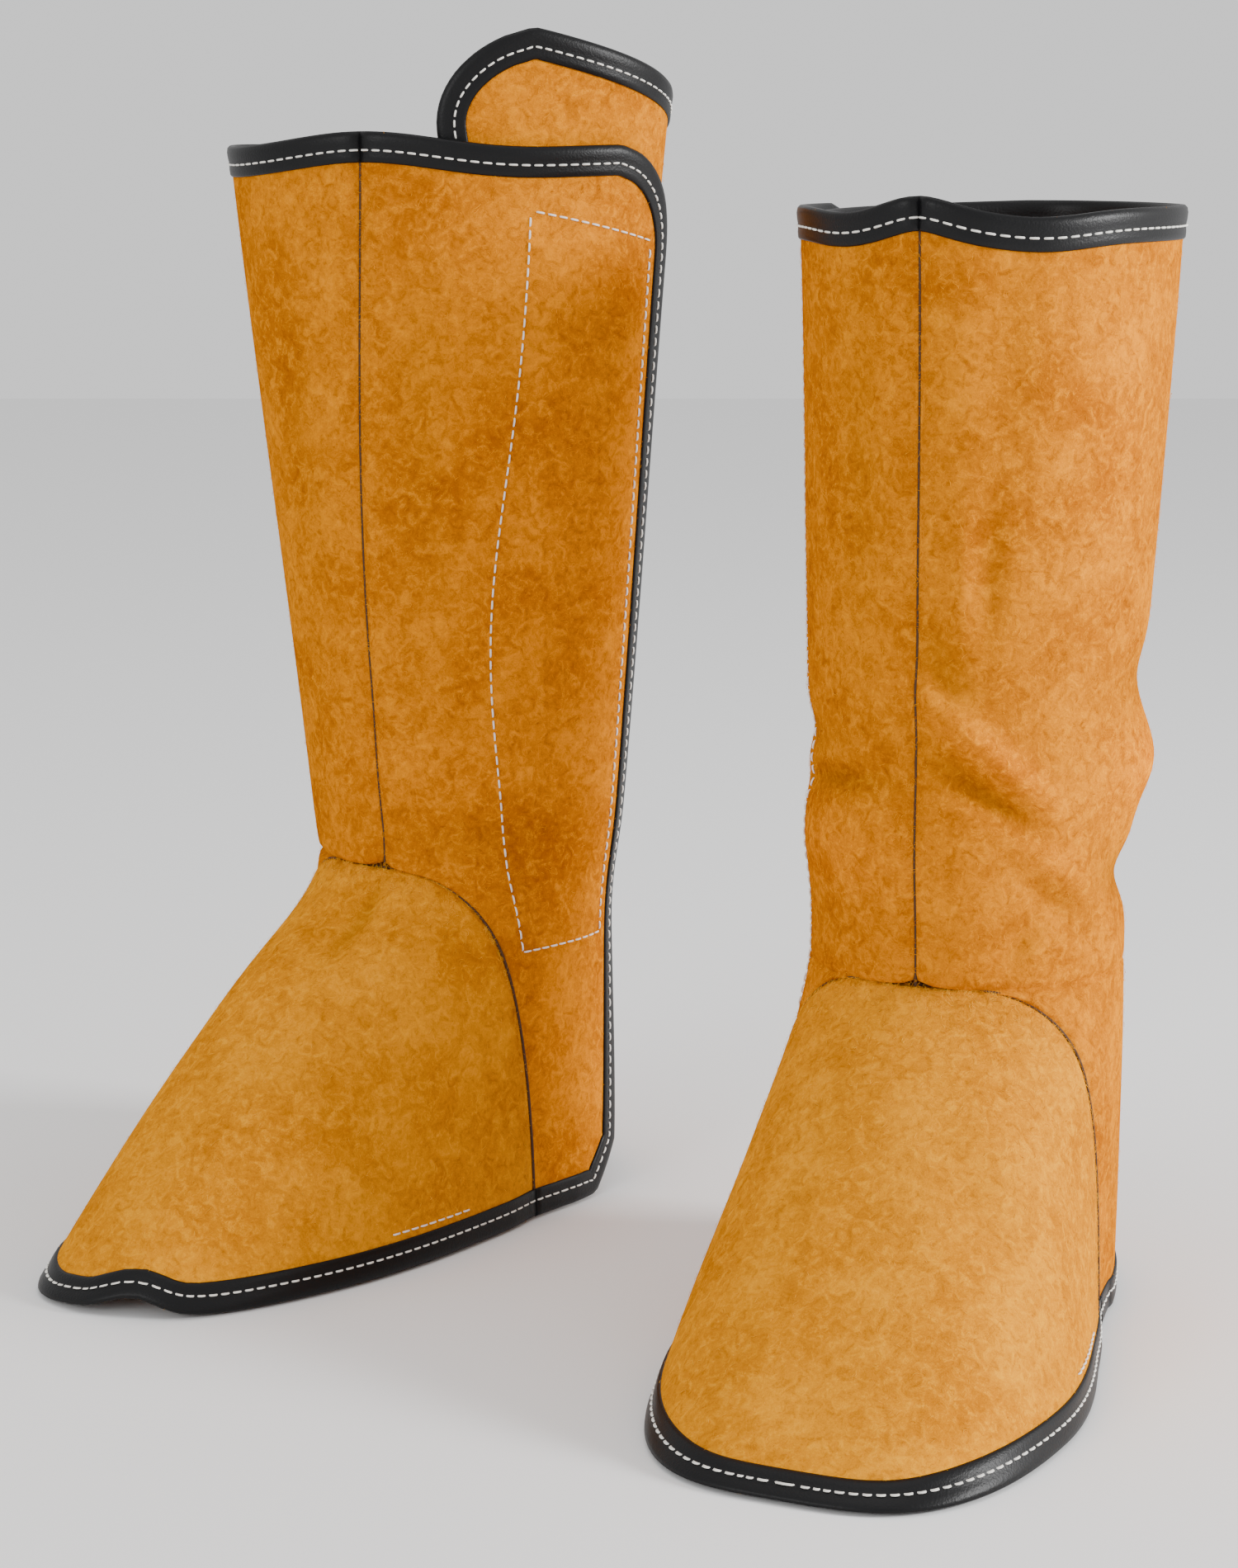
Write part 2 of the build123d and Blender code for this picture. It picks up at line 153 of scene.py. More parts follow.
@dataclass(frozen=True)
class Form:
    """Shape of one spat's leather, with its driving sizes in millimetres and degrees."""

    side: Side
    top_z: float
    apex_z: float
    top_half: tuple[float, float]
    ankle_half: tuple[float, float]
    section_turn: float
    seam_turn: float
    toe_reach: float
    ball_half: tuple[float, float]
    underlap_lift: tuple[float, float, float]
    toe_out: float
    creases: tuple[Crease, ...]
    hem_wave: float
    lean: tuple[float, float]
    top_waves: tuple[tuple[float, float, float], ...]
    seam_sway: float
    toe_swing: float
    toe_bluntness: float = 2.7
    heel_bluntness: float = 2.2
    heel_reach: float = 62.0
    heel_half: float = 50.0
    instep_fullness: float = 0.16
    flap_bend_x: float = 12.0
    flap_axis_y: float = 64.5
    flap_edge_top_x: float = -41.0
    flap_edge_hem_x: float = -30.0
    flap_top_corner: float = 38.0
    flap_hem_corner: float = 22.0
    underlap_top_x: float = 42.0
    underlap_hem_x: float = 0.0
    underlap_top_corner: float = 34.0
    underlap_hem_corner: float = 14.0
    seam_hem_x: float = 19.0
    seam_apex_x: float = 52.0

    def leg_outline(self, turn: np.ndarray, z: np.ndarray) -> tuple[np.ndarray, np.ndarray]:
        """Points on the leg's outside: an ellipse that widens upwards."""
        share = (z - 112.0) / (self.top_z - 112.0)
        length = mix(self.ankle_half[0], self.top_half[0], share)
        width = mix(self.ankle_half[1], self.top_half[1], share)
        lean = math.radians(self.section_turn)
        along, across = length * np.cos(turn - lean), width * np.sin(turn - lean)
        return (along * math.cos(lean) - across * math.sin(lean),
                along * math.sin(lean) + across * math.cos(lean))

    def foot_outline(self, turn: np.ndarray, z: np.ndarray) -> tuple[np.ndarray, np.ndarray]:
        """Points on the foot's outside: a blunt oval that shortens up the instep."""
        rise = z / self.apex_z
        shin = self.ankle_half[0] + 2.0
        forward = shin + ((self.toe_reach - shin) * np.maximum(0.0, 1.0 - rise)
                          * (1.0 + self.instep_fullness * rise))
        level = smooth(rise, 0.0, 1.0)
        rear = mix(self.heel_reach, self.ankle_half[0], level)
        cosine, sine = np.cos(turn), np.sin(turn)
        toe_side = cosine >= 0.0
        power = 2.0 / mix(np.where(toe_side, self.toe_bluntness, self.heel_bluntness), 2.0, level)
        x = np.where(toe_side, forward, rear) * np.sign(cosine) * np.abs(cosine) ** power
        ball = np.where(sine >= 0.0, self.ball_half[0], self.ball_half[1])
        half = mix(mix(self.heel_half, ball, smooth(x, -30.0, 120.0)), self.ankle_half[1] + 2.0, rise)
        return x, half * np.sign(sine) * np.abs(sine) ** power + self.toe_swing * np.maximum(0.0, x - 60.0)

    def outline(self, turn: np.ndarray, z: np.ndarray) -> tuple[np.ndarray, np.ndarray]:
        """Points on the spat's outside: the foot's outline low down, and the leg's above it."""
        share = smooth(z, 92.0, 146.0)
        foot, leg = self.foot_outline(turn, z), self.leg_outline(turn, z)
        tilt = smooth(z, 130.0, self.top_z)
        return (mix(foot[0], leg[0], share) + self.lean[0] * tilt,
                mix(foot[1], leg[1], share) + self.lean[1] * tilt)

    def wavy(self, turn: np.ndarray, z: np.ndarray) -> np.ndarray:
        """Heights after the waves of the top edge."""
        degrees = np.degrees(turn)
        wave = sum(rise * hump(degrees, centre, width) for centre, rise, width in self.top_waves)
        return z + wave * np.clip((z - self.top_z + 70.0) / 70.0, 0.0, 1.0) ** 2

    def swelling(self, turn: np.ndarray, z: np.ndarray) -> np.ndarray:
        """How far the creases push the leather out, in millimetres."""
        total = np.zeros_like(z)
        degrees = np.degrees(turn)
        for crease in self.creases:
            offset = (degrees - crease.turn + 180.0) % 360.0 - 180.0
            total = total + (crease.rise * hump(offset, 0.0, crease.wide)
                             * hump(z - crease.slope * offset, crease.height, crease.tall))
        return total

    def normal(self, turn: np.ndarray, z: np.ndarray) -> np.ndarray:
        """Unit outward normals of the outline surface."""
        step = 0.02
        ahead, behind = self.outline(turn + step, z), self.outline(turn - step, z)
        above, below = self.outline(turn, z + 1.0), self.outline(turn, z - 1.0)
        along = np.stack([ahead[0] - behind[0], ahead[1] - behind[1], np.zeros_like(z)], -1)
        upward = np.stack([above[0] - below[0], above[1] - below[1], np.full_like(z, 2.0)], -1)
        outward = np.cross(along, upward)
        return outward / np.linalg.norm(outward, axis=-1, keepdims=True)

    def lap(self, turn: np.ndarray) -> np.ndarray:
        """Depth of the inner panel below the leg's outside: full under the flap, none at the calf."""
        full = GOODS.leather + 2.0 * (GOODS.tape + GOODS.glue) + GOODS.tape_gap
        return full * smooth(-np.degrees(turn), 175.0, 210.0)

    def point(self, turn: Values, z: Values, depth: Values) -> np.ndarray:
        """Points at a depth below the creased outside, in the spat's own frame."""
        turn, z, depth = np.broadcast_arrays(np.asarray(turn, float), np.asarray(z, float),
                                             np.asarray(depth, float))
        x, y = self.outline(turn, z)
        outward = self.normal(turn, z)
        level = np.hypot(outward[..., 0], outward[..., 1])
        shift = (depth - self.swelling(turn, z)) / level / level
        return np.stack([x - outward[..., 0] * shift, y - outward[..., 1] * shift, z], -1)

    def turn_at_x(self, x: Values, z: Values) -> np.ndarray:
        """Turn on the outer side, from 0 to 180 degrees, at which the outline reaches x."""
        x, z = np.broadcast_arrays(np.asarray(x, float), np.asarray(z, float))
        low, high = np.zeros_like(z), np.full_like(z, math.pi)
        for _ in range(40):
            middle = (low + high) / 2.0
            beyond = self.outline(middle, z)[0] < x
            low, high = np.where(beyond, low, middle), np.where(beyond, middle, high)
        return (low + high) / 2.0

    def shin_turn(self, z: np.ndarray) -> np.ndarray:
        """Turn of the seam up the shin, which sways outwards near the top."""
        return np.radians(self.seam_turn + self.seam_sway * smooth(z, 200.0, self.top_z + 40.0))

    @property
    def joint_place(self) -> np.ndarray:
        """The flap's bend axis in the row frame, in metres."""
        name = f"{self.side.value}_flap_opening"
        return np.array(next(joint["pos_m"] for joint in frame["record"]["behaviour"]["joints"]
                             if joint["name"] == name))

    def place(self, local: np.ndarray) -> np.ndarray:
        """Points of the spat's own frame in millimetres, in the row frame in metres."""
        heading = math.radians(-90.0 - self.toe_out)
        turned = np.array([[math.cos(heading), -math.sin(heading)], [math.sin(heading), math.cos(heading)]])
        hand = np.array([1.0, -1.0 if self.side is Side.RIGHT else 1.0])
        axis = np.array([self.flap_bend_x, self.flap_axis_y])
        origin = self.joint_place[:2] - turned @ (axis * hand * MM)
        flat = local[..., :2] * hand * MM @ turned.T + origin
        return np.concatenate([flat, local[..., 2:] * MM], -1)


def wrap_layout(form: Form) -> tuple[np.ndarray, np.ndarray]:
    """Heights and shin-side turns of a panel's rows, from the hem up the instep seam to the top.

    Returns:
        Heights in millimetres, and for each the turn on the outer side at which the panel starts.
    """
    swing = np.radians(np.array([0.6, 8, 16, 25, 34, 43, 52, 60, 67, 73, 78, 82]))
    low_z = form.apex_z * np.sin(swing)
    arch_x = form.seam_apex_x - (form.seam_apex_x - form.seam_hem_x) * np.cos(swing)
    low_turn = form.turn_at_x(arch_x, low_z)
    high_z = mix(form.apex_z, form.top_z - 0.6, np.linspace(0.0, 1.0, SHIN_ROWS) ** 0.92)
    return np.concatenate([low_z, high_z]), np.concatenate([low_turn, form.shin_turn(high_z)])


@dataclass
class Layout:
    """A sheet laid out on a form: turn, height and depth at every row and column."""

    form: Form
    turn: np.ndarray
    z: np.ndarray
    depth: np.ndarray

    def points(self) -> np.ndarray:
        """The sheet's outside, in the spat's own frame."""
        return self.form.point(self.turn, self.z, self.depth)

    @property
    def runs_forward(self) -> bool:
        """Whether turn grows from the first column to the last."""
        return bool(self.turn[0, -1] > self.turn[0, 0])

    def edge(self, parts: str) -> tuple[np.ndarray, np.ndarray, np.ndarray]:
        """The sheet's border as turns, heights and depths, strung together from named parts.

        Args:
            parts: letters in order: t for the top row, e for the far column downwards, b for the
                bottom row backwards, f for the bottom row forwards.
        """
        pick = {"t": lambda grid: grid[-1, :], "e": lambda grid: grid[::-1, -1],
                "b": lambda grid: grid[0, ::-1], "f": lambda grid: grid[0, :]}
        return tuple(
            np.concatenate([pick[part](grid)[1 if index else 0:] for index, part in enumerate(parts)])
            for grid in (self.turn, self.z, self.depth))


def graded(length: float, fine: tuple[float, ...], step: float, both_ends: bool) -> np.ndarray:
    """Shares of a length at which columns lie: close together near a seam, then even."""
    near = np.array(fine)
    far = length - near[::-1] if both_ends else np.array([length - 1.2, length])
    count = max(2, int((far[0] - near[-1]) / step))
    return np.concatenate([near, np.linspace(near[-1], far[0], count + 1)[1:-1], far]) / length


SEAM_COLUMNS = (0.0, 0.9, 1.9, 3.2, 5.2, 8.5)


def seam_sink(distance: np.ndarray, depth: float = 1.5, width: float = 2.0) -> np.ndarray:
    """Depth of a sewn edge at a distance from the seam: both edges turn in together."""
    return depth * np.exp(-((distance / width) ** 2))


def corner_cut(z: np.ndarray, low: float, high: float, low_radius: float, high_radius: float) -> np.ndarray:
    """How far a rounded free edge draws back from its straight line at each height."""
    above = np.clip(z - (high - high_radius), 0.0, high_radius)
    below = np.clip((low + low_radius) - z, 0.0, low_radius)
    return ((high_radius - np.sqrt(high_radius**2 - above**2))
            + (low_radius - np.sqrt(low_radius**2 - below**2)))


def hem_lift(form: Form, turn: np.ndarray, z: np.ndarray) -> np.ndarray:
    """Heights after the hem's wave at the toe."""
    return z + form.hem_wave * hump(np.degrees(turn), 15.0, 11.0) * np.clip(1.0 - z / 45.0, 0.0, 1.0)


def outer_layout(form: Form) -> Layout:
    """Outer side of the leg: from the shin seam to the flap's free edge."""
    z, start = wrap_layout(form)
    edge_x = mix(form.flap_edge_hem_x, form.flap_edge_top_x, z / form.top_z)
    edge_x = edge_x + corner_cut(z, 0.0, form.top_z, form.flap_hem_corner, form.flap_top_corner)
    end = form.turn_at_x(edge_x, z)
    share = graded(150.0, SEAM_COLUMNS, 6.0, False)
    turn = start[:, None] + (end - start)[:, None] * share[None, :]
    height = form.wavy(turn, np.broadcast_to(z[:, None], turn.shape))
    distance = share[None, :] * (end - start)[:, None] * LEG_RADIUS
    return Layout(form, turn, height, seam_sink(distance))


def inner_layout(form: Form) -> Layout:
    """Inner side of the leg: from the shin seam round the calf to the underlap's free edge."""
    z, _ = wrap_layout(form)
    count = len(z) - SHIN_ROWS
    arch_x = form.seam_apex_x - (form.seam_apex_x - form.seam_hem_x) * np.sqrt(
        np.maximum(0.0, 1.0 - (z[:count] / form.apex_z) ** 2))
    start = form.shin_turn(z)
    start[:count] = -form.turn_at_x(arch_x, z[:count])
    edge_x = mix(form.underlap_hem_x, form.underlap_top_x, z / form.top_z)
    edge_x = edge_x - corner_cut(z, 0.0, form.top_z, form.underlap_hem_corner, form.underlap_top_corner)
    end = form.turn_at_x(edge_x, z) - 2.0 * math.pi
    share = graded(330.0, SEAM_COLUMNS, 4.6, False)
    turn = start[:, None] + (end - start)[:, None] * share[None, :]
    calf, hem_end, top_end = form.underlap_lift
    wrapped = -np.degrees(turn)
    to_calf = smooth(wrapped, 110.0, 190.0)
    past_calf = np.clip((wrapped - 190.0) / 105.0, 0.0, 1.0)
    level = (z / form.top_z)[:, None]
    height = form.wavy(turn, z[:, None] + calf * to_calf + (mix(hem_end, top_end, level) - calf) * past_calf)
    distance = share[None, :] * (start - end)[:, None] * LEG_RADIUS
    return Layout(form, turn, height, seam_sink(distance) + form.lap(turn))


def instep_layout(form: Form) -> Layout:
    """Instep cover: from the hem up to the arched seam across the shin."""
    swing = np.radians(np.array([0.6, 5, 10, 16, 22, 29, 36, 43, 50, 57, 63, 69, 74, 79, 84, 87.5]))
    z = form.apex_z * np.sin(swing)
    arch_x = form.seam_apex_x - (form.seam_apex_x - form.seam_hem_x) * np.cos(swing)
    outer_end = form.turn_at_x(arch_x, z)
    share = graded(300.0, SEAM_COLUMNS, 7.0, True)
    turn = -outer_end[:, None] + 2.0 * outer_end[:, None] * share[None, :]
    height = hem_lift(form, turn, np.broadcast_to(z[:, None], turn.shape))
    across = np.minimum(share, 1.0 - share)[None, :] * 2.0 * outer_end[:, None] * FOOT_RADIUS
    upward = (form.apex_z - z)[:, None] * 1.35
    return Layout(form, turn, height, seam_sink(np.minimum(across, upward), 1.7, 2.4))


def link(name: str, mesh: bpy.types.Mesh) -> bpy.types.Object:
    """New object at the origin that shows a mesh."""
    thing = bpy.data.objects.new(name, mesh)
    bpy.context.scene.collection.objects.link(thing)
    return thing


def mesh_from(name: str, points: np.ndarray, faces: list[tuple[int, ...]], flip: bool) -> bpy.types.Object:
    """Object from points in the row frame and faces, turned over where asked."""
    mesh = bpy.data.meshes.new(name)
    mesh.from_pydata([tuple(point) for point in points.reshape(-1, 3)], [],
                     [tuple(reversed(face)) for face in faces] if flip else faces)
    mesh.polygons.foreach_set("use_smooth", [True] * len(mesh.polygons))
    mesh.update()
    return link(name, mesh)


def grid_faces(rows: int, columns: int, closed: bool = False) -> list[tuple[int, int, int, int]]:
    """Quads between neighbouring rows and columns; closed joins the last column to the first."""
    faces = []
    for row in range(rows - 1):
        for column in range(columns if closed else columns - 1):
            follower = (column + 1) % columns
            faces.append((row * columns + column, row * columns + follower,
                          (row + 1) * columns + follower, (row + 1) * columns + column))
    return faces


def apply_stack(thing: bpy.types.Object) -> None:
    """Turn an object's modifier stack into its mesh."""
    graph = bpy.context.evaluated_depsgraph_get()
    finished = bpy.data.meshes.new_from_object(thing.evaluated_get(graph), depsgraph=graph)
    rough = thing.data
    thing.modifiers.clear()
    thing.data = finished
    bpy.data.meshes.remove(rough)


def sheet_piece(name: str, layout: Layout, thickness: float) -> bpy.types.Object:
    """Sheet goods over a lay-out: a cage given its thickness inwards and its smoothness."""
    local = layout.points()
    flip = layout.runs_forward == (layout.form.side is Side.RIGHT)
    piece = mesh_from(name, layout.form.place(local), grid_faces(*local.shape[:2]), flip)
    # Fold heights per point, which the suede material turns into painted highlight on ridges and painted
    # shade in valleys.
    fold = piece.data.attributes.new("fold", "FLOAT", "POINT")
    fold.data.foreach_set("value", layout.form.swelling(layout.turn, layout.z).astype(np.float32).ravel())
    wall = piece.modifiers.new("thickness", "SOLIDIFY")
    wall.thickness = thickness * MM
    wall.offset = -1.0
    soften = piece.modifiers.new("smoothness", "SUBSURF")
    soften.levels = soften.render_levels = 1
    apply_stack(piece)
    return piece


@dataclass
class EdgeLine:
    """A free edge of a sheet, walked at even steps, with directions into the sheet."""

    form: Form
    turn: np.ndarray
    z: np.ndarray
    depth: np.ndarray
    into_turn: np.ndarray
    into_z: np.ndarray

    @classmethod
    def along(cls, layout: Layout, parts: str, step: float) -> "EdgeLine":
        """Walk a lay-out's border.

        Args:
            layout: the sheet.
            parts: border parts, as Layout.edge takes them.
            step: distance between the points in millimetres.
        """
        form = layout.form
        turn, z, depth = layout.edge(parts)
        local = form.point(turn, z, 0.0)
        length = np.concatenate([[0.0], np.cumsum(np.linalg.norm(np.diff(local, axis=0), axis=1))])
        even = np.linspace(0.0, length[-1], max(3, int(length[-1] / step) + 1))
        turn, z, depth = (np.interp(even, length, values) for values in (turn, z, depth))
        local = form.point(turn, z, 0.0)
        tangent = np.gradient(local, axis=0)
        for _ in range(2):
            tangent[1:-1] = (tangent[:-2] + 2.0 * tangent[1:-1] + tangent[2:]) / 4.0
        tangent /= np.linalg.norm(tangent, axis=1, keepdims=True)
        inward = np.cross(tangent, form.normal(turn, z))
        if not layout.runs_forward:
            inward = -inward
        if parts == "f":
            inward = -inward
        by_turn = (form.point(turn + 0.01, z, 0.0) - local) / 0.01
        by_z = form.point(turn, z + 1.0, 0.0) - local
        matrix = np.stack([by_turn, by_z], -1)
        solved = np.stack([np.linalg.lstsq(columns, goal, rcond=None)[0]
                           for columns, goal in zip(matrix, inward)])
        return cls(form, turn, z, depth, solved[:, 0], solved[:, 1])

    def at(self, inset: np.ndarray, depth: np.ndarray) -> np.ndarray:
        """Points at insets into the sheet and depths below its outside, one row for each step."""
        turn = self.turn[:, None] + self.into_turn[:, None] * inset[None, :]
        z = self.z[:, None] + self.into_z[:, None] * inset[None, :]
        return self.form.point(turn, z, self.depth[:, None] + depth[None, :])


BINDING_PROFILE = np.array([      # inset and depth round the folded tape, outer ply first
    (9.5, 0.02), (9.6, -0.45), (9.1, -0.78), (7.4, -0.86), (5.4, -0.66), (3.4, -0.95), (1.4, -1.05),
    (-0.2, -0.7), (-0.95, 0.1), (-0.95, 1.5), (-0.2, 2.3), (1.4, 2.6), (3.4, 2.5), (5.4, 2.25),
    (7.4, 2.45), (9.1, 2.4), (9.6, 2.1), (9.5, 1.58)])


def binding_piece(name: str, line: EdgeLine, flip: bool) -> bpy.types.Object:
    """Tape folded over an edge, quilted a little by its stitching."""
    profile = BINDING_PROFILE
    local = line.at(profile[:, 0], profile[:, 1])
    steps, ring = local.shape[:2]
    faces = grid_faces(steps, ring, closed=True)
    faces.append(tuple(range(ring))[::-1])
    faces.append(tuple(range((steps - 1) * ring, steps * ring)))
    return mesh_from(name, line.form.place(local), faces, flip)


def stitch_run(name: str, line: EdgeLine, faces_out: bool) -> bpy.types.Object:
    """Lockstitches along an edge: each a short thread that dips into the work at both ends.

    Args:
        name: name of the piece.
        line: the edge, walked at the stitch pitch.
        faces_out: True for the outside, False for the inside.
    """
    surface = -GOODS.stitch_rise if faces_out else GOODS.leather + GOODS.stitch_rise
    towards = -1.0 if faces_out else 1.0
    inset = GOODS.stitch_inset
    centre = line.at(np.array([inset]), np.array([surface]))[:, 0, :]
    raised = line.at(np.array([inset]), np.array([surface + towards]))[:, 0, :] - centre
    sideways = line.at(np.array([inset + 1.0]), np.array([surface]))[:, 0, :] - centre
    return thread_mesh(name, line.form, centre, raised, sideways, GOODS.stitch_length / GOODS.stitch_pitch)


def thread_mesh(name: str, form: Form, centre: np.ndarray, raised: np.ndarray, sideways: np.ndarray,
                cover: float) -> bpy.types.Object:
    """Threads between neighbouring needle holes, as closed bent cylinders."""
    radius = GOODS.thread
    around = [(math.cos(angle), math.sin(angle)) for angle in np.arange(6) * math.pi / 3.0]
    shares = np.array([0.5 - cover / 2.0, 0.5 - cover * 0.36, 0.5, 0.5 + cover * 0.36, 0.5 + cover / 2.0])
    lifts = np.array([-0.42, 0.16, 0.3, 0.16, -0.42])
    widths = np.array([0.55, 1.0, 1.08, 1.0, 0.55])
    points, faces = [], []
    for index in range(len(centre) - 1):
        base = len(points)
        for share, lift, width in zip(shares, lifts, widths):
            middle = mix(centre[index], centre[index + 1], share)
            up = mix(raised[index], raised[index + 1], share)
            side = mix(sideways[index], sideways[index + 1], share)
            for across, above in around:
                points.append(middle + up * (lift + above * radius * width) + side * across * radius * width)
        faces.extend(tuple(base + corner for corner in face) for face in grid_faces(5, 6, closed=True))
        faces.append(tuple(base + corner for corner in range(6))[::-1])
        faces.append(tuple(base + 24 + corner for corner in range(6)))
    piece = mesh_from(name, form.place(np.array(points)), faces, False)
    turn_outwards(piece)
    return piece


def turn_outwards(piece: bpy.types.Object) -> None:
    """Make every closed part of a mesh face outwards."""

    work = bmesh.new()
    work.from_mesh(piece.data)
    bmesh.ops.recalc_face_normals(work, faces=work.faces)
    work.to_mesh(piece.data)
    work.free()


def sewn_path(name: str, form: Form, turn: np.ndarray, z: np.ndarray, depth: float) -> bpy.types.Object:
    """Lockstitches along a path over the leather, given by turns and heights.

    Args:
        name: name of the piece.
        form: the form that the leather lies on.
        turn: turns along the path, in radians.
        z: heights along the path.
        depth: depth of the threads' line below the form's outside.
    """
    rough = form.point(turn, z, depth)
    length = np.concatenate([[0.0], np.cumsum(np.linalg.norm(np.diff(rough, axis=0), axis=1))])
    even = np.arange(0.0, length[-1], GOODS.stitch_pitch)
    turn, z = np.interp(even, length, turn), np.interp(even, length, z)
    centre, raised = form.point(turn, z, depth), form.normal(turn, z)
    sideways = np.cross(np.gradient(centre, axis=0), raised)
    sideways /= np.linalg.norm(sideways, axis=1, keepdims=True)
    return thread_mesh(name, form, centre, raised, sideways, GOODS.stitch_length / GOODS.stitch_pitch)


def welt_piece(name: str, form: Form, turn: np.ndarray, z: np.ndarray) -> bpy.types.Object:
    """Dark cord of closed seam allowance that lies at the bottom of a seam's groove."""
    centre, raised = form.point(turn, z, WELT_DEPTH), form.normal(turn, z)
    sideways = np.cross(np.gradient(centre, axis=0), raised)
    sideways /= np.linalg.norm(sideways, axis=1, keepdims=True)
    around = np.arange(8) * math.pi / 4.0
    ring = (centre[:, None] + raised[:, None] * np.sin(around)[None, :, None] * 0.5
            + sideways[:, None] * np.cos(around)[None, :, None] * 0.55)
    steps = len(centre)
    faces = grid_faces(steps, 8, closed=True) + [tuple(range(8)), tuple(range((steps - 1) * 8, steps * 8))]
    piece = mesh_from(name, form.place(ring), faces, False)
    turn_outwards(piece)
    return piece


class Nap:
    """Loose suede fibres that stand on a sheet, as thin curved three-sided hairs."""

    RINGS = 4

    def __init__(self, seed: int) -> None:
        """Start the row of random draws at a seed."""
        self.random = np.random.default_rng(seed)

    def grow(self, name: str, layout: Layout, count: int, edge_share: float) -> bpy.types.Object:
        """Scatter fibres over a sheet's outside.

        Args:
            name: name of the piece.
            layout: the sheet.
            count: number of fibres.
            edge_share: share of them that crowd along the borders and stray over the binding.
        """
        random, form = self.random, layout.form
        rows, columns = layout.turn.shape
        row, column = random.random(count) * (rows - 1.001), random.random(count) * (columns - 1.001)
        at_edge = random.random(count) < edge_share
        column = np.where(at_edge, columns - 2.6 - random.random(count) * 0.6, column)
        low_row, low_column = row.astype(int), column.astype(int)
        share_row, share_column = row - low_row, column - low_column

        def sampled(grid: np.ndarray) -> np.ndarray:
            """Values of a grid at the drawn places between its rows and columns."""
            near = mix(grid[low_row, low_column], grid[low_row, low_column + 1], share_column)
            far = mix(grid[low_row + 1, low_column], grid[low_row + 1, low_column + 1], share_column)
            return mix(near, far, share_row)

        turn, z, depth = sampled(layout.turn), sampled(layout.z), sampled(layout.depth)
        centre, raised = form.point(turn, z, depth), form.normal(turn, z)
        upright = np.array([0.0, 0.0, 1.0]) - raised * raised[:, 2:3]
        upright /= np.linalg.norm(upright, axis=1, keepdims=True)
        sideways = np.cross(raised, upright)
        heading = random.normal(0.0, 1.3, count) + 0.5 * math.pi
        curl = random.normal(0.0, 0.9, count)
        length = 1.0 + 2.6 * random.random(count) ** 1.6
        thick = 0.045 + 0.05 * random.random(count)
        lift = 0.12 + 0.5 * random.random(count) ** 2
        points = []
        for ring in range(self.RINGS):
            share = ring / (self.RINGS - 1)
            bearing = heading + curl * share
            flat = sideways * np.cos(bearing)[:, None] + upright * np.sin(bearing)[:, None]
            across = np.cross(raised, flat)
            middle = centre + flat * (length * (share - 0.5))[:, None] \
                + raised * (lift * math.sin(math.pi * (0.15 + 0.7 * share)) - 0.05)[:, None]
            girth = (thick * (1.0 - 0.75 * abs(2.0 * share - 1.0)))[:, None]
            points += [middle + raised * girth, middle - across * girth, middle + across * girth]
        cloud = np.stack(points, 1)
        faces = []
        pattern = grid_faces(self.RINGS, 3, closed=True) + [(2, 1, 0), (9, 10, 11)]
        for index in range(count):
            base = index * self.RINGS * 3
            faces.extend(tuple(base + corner for corner in face) for face in pattern)
        piece = mesh_from(name, form.place(cloud), faces, form.side is Side.RIGHT)
        turn_outwards(piece)
        return piece


@dataclass(frozen=True)
class Hide:
    """Colours of one kind of suede: its darker roots, its body and its pale fibre tips."""

    root: Colour
    body: Colour
    tip: Colour

    def darker(self, share: float) -> tuple[float, ...]:
        """The body's colour a share of the way to the roots', with its alpha."""
        return tuple(mix(np.array(self.body), np.array(self.root), share)) + (1.0,)

    def paler(self, share: float) -> tuple[float, ...]:
        """The body's colour a share of the way to the tips', with its alpha."""
        return tuple(mix(np.array(self.body), np.array(self.tip), share)) + (1.0,)


QUARTER_HIDE = Hide((0.24, 0.048, 0.0), (0.60, 0.172, 0.0), (0.92, 0.34, 0.002))
INSTEP_HIDE = Hide((0.34, 0.095, 0.0), (0.66, 0.225, 0.0), (0.92, 0.40, 0.010))


